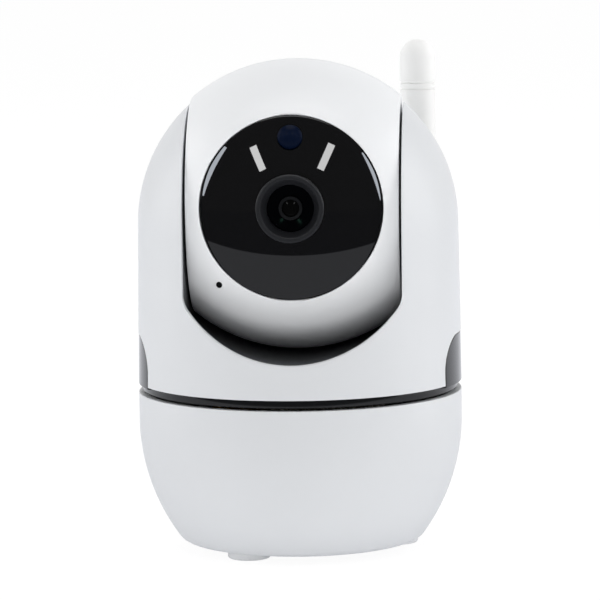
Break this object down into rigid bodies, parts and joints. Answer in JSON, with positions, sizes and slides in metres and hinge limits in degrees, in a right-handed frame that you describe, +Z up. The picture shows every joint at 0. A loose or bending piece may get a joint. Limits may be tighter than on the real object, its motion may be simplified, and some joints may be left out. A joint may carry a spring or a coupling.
{
  "type": "pan and tilt baby monitor camera",
  "caption": "Table-top pan and tilt baby monitor camera with a bowl base, domed body, tilting barrel head with a glossy round face, and a swinging rear antenna.",
  "frame": {"origin": "on the pan axis, in the plane that the feet stand on", "axes": "+Z up, the lens looks towards -Y, +X to the right seen from the front"},
  "size_m": [0.0806, 0.083, 0.1242],
  "materials": {
    "white_abs": "satin moulded",
    "black_abs": "gloss moulded",
    "grey_abs": "moulded",
    "smoked_acrylic": "polished",
    "blue_dome": "polished",
    "satin_bezel": "satin",
    "black_anodised": "black anodised",
    "coated_glass": "coated",
    "silicone": "matt",
    "zinc_steel": "zinc plated",
    "motor_steel": "plated",
    "brass": "turned",
    "acetal": "moulded",
    "circuit_board": "solder mask",
    "chip": "moulded",
    "led_epoxy": "clear"
  },
  "bodies": {
    "base": {"base_cup": "white_abs", "base_plate": "white_abs", "feet": "silicone", "base_screws": "zinc_steel", "tripod_insert": "brass", "power_board": "circuit_board", "usb_socket": "zinc_steel", "motor_deck": "grey_abs", "deck_screws": "zinc_steel", "pan_motor": "motor_steel", "pan_motor_screws": "zinc_steel", "pan_washer": "acetal"},
    "pan_drive": {"pan_shaft": "zinc_steel", "pan_pinion": "brass"},
    "body": {"turntable": "grey_abs", "pan_gear": "acetal", "hub_retainer": "grey_abs", "retainer_screws": "zinc_steel", "trim_ring": "black_abs", "front_shell": "white_abs", "rear_shell": "white_abs", "shell_screws": "zinc_steel", "cradle": "black_abs", "cradle_screws": "zinc_steel", "main_board": "circuit_board", "processor": "chip", "speaker": "chip", "tilt_stub": "zinc_steel", "tilt_gear": "acetal", "tilt_bush": "acetal", "antenna_pivot": "zinc_steel"},
    "antenna": {"antenna_knuckle": "white_abs", "antenna_sleeve": "white_abs", "antenna_element": "brass"},
    "head": {"head_front": "white_abs", "head_rear": "white_abs", "head_screws": "zinc_steel", "face_window": "smoked_acrylic", "lens_bezel": "satin_bezel", "lens_barrel": "black_anodised", "lens_ring": "black_anodised", "lens_glass": "coated_glass", "lens_holder": "grey_abs", "sensor_board": "circuit_board", "image_sensor": "chip", "led_board": "circuit_board", "infrared_leds": "led_epoxy", "board_spacers": "brass", "sensor_dome": "blue_dome", "microphone": "zinc_steel", "trunnion": "zinc_steel", "head_bush": "acetal", "tilt_motor": "motor_steel", "tilt_motor_screws": "zinc_steel", "card_board": "circuit_board", "card_socket": "zinc_steel", "reset_switch": "chip"},
    "tilt_drive": {"tilt_shaft": "zinc_steel", "tilt_pinion": "brass"},
    "reset_button": {"reset_button": "grey_abs"}
  },
  "joints": [
    {"name": "pan", "type": "hinge", "parent": "base", "child": "body", "pos_m": [0, 0, 0], "axis": [0, 0, 1], "range_deg": [-177.5, 177.5]},
    {"name": "pan_drive_spin", "type": "hinge", "parent": "base", "child": "pan_drive", "pos_m": [-0.01425, -0.02468, 0], "axis": [0, 0, 1], "range_deg": [-800, 800]},
    {"name": "tilt", "type": "hinge", "parent": "body", "child": "head", "pos_m": [0, 0, 0.0855], "axis": [-1, 0, 0], "range_deg": [-25, 70]},
    {"name": "tilt_drive_spin", "type": "hinge", "parent": "head", "child": "tilt_drive", "pos_m": [0, 0.01403, 0.08226], "axis": [-1, 0, 0], "range_deg": [-70, 180]},
    {"name": "antenna_swing", "type": "hinge", "parent": "body", "child": "antenna", "pos_m": [0.02914, 0.03598, 0.066], "axis": [0.6293, 0.7771, 0], "range_deg": [-90, 180]},
    {"name": "reset_press", "type": "slide", "parent": "head", "child": "reset_button", "axis": [-0.2756, -0.1171, 0.9541], "range_m": [0, 0.0005], "stiffness_N_per_m": 1500}
  ],
  "couplings": [
    {"joint": "pan_drive_spin", "follows": "pan", "ratio": -4.4286},
    {"joint": "tilt_drive_spin", "follows": "tilt", "ratio": 2.4286}
  ]
}
